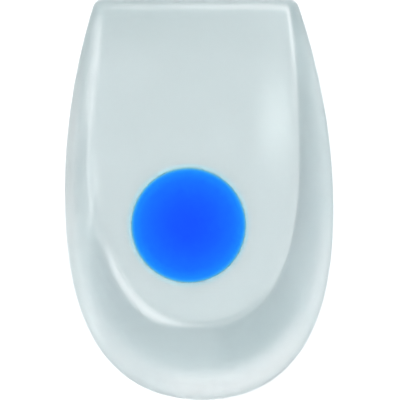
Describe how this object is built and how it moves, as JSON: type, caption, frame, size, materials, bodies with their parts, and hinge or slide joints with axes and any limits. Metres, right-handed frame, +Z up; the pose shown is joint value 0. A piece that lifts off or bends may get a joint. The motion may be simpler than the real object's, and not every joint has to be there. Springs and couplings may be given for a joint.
{
  "type": "heel lift cushion",
  "caption": "Translucent silicone heel cup with a straight thin front edge, a raised rounded rim round the heel and a softer blue spot set flush in its floor.",
  "frame": {"origin": "under the middle of the cushion's outline, on the surface that it lies on", "axes": "+X to the right seen from above, +Y toward the straight front edge, +Z up"},
  "size_m": [0.0658, 0.098, 0.0155],
  "materials": {
    "clear_silicone": "satin, translucent, slightly cloudy",
    "blue_silicone": "satin"
  },
  "bodies": {
    "root": {"heel_cup": "clear_silicone", "soft_spot": "blue_silicone"}
  },
  "joints": []
}
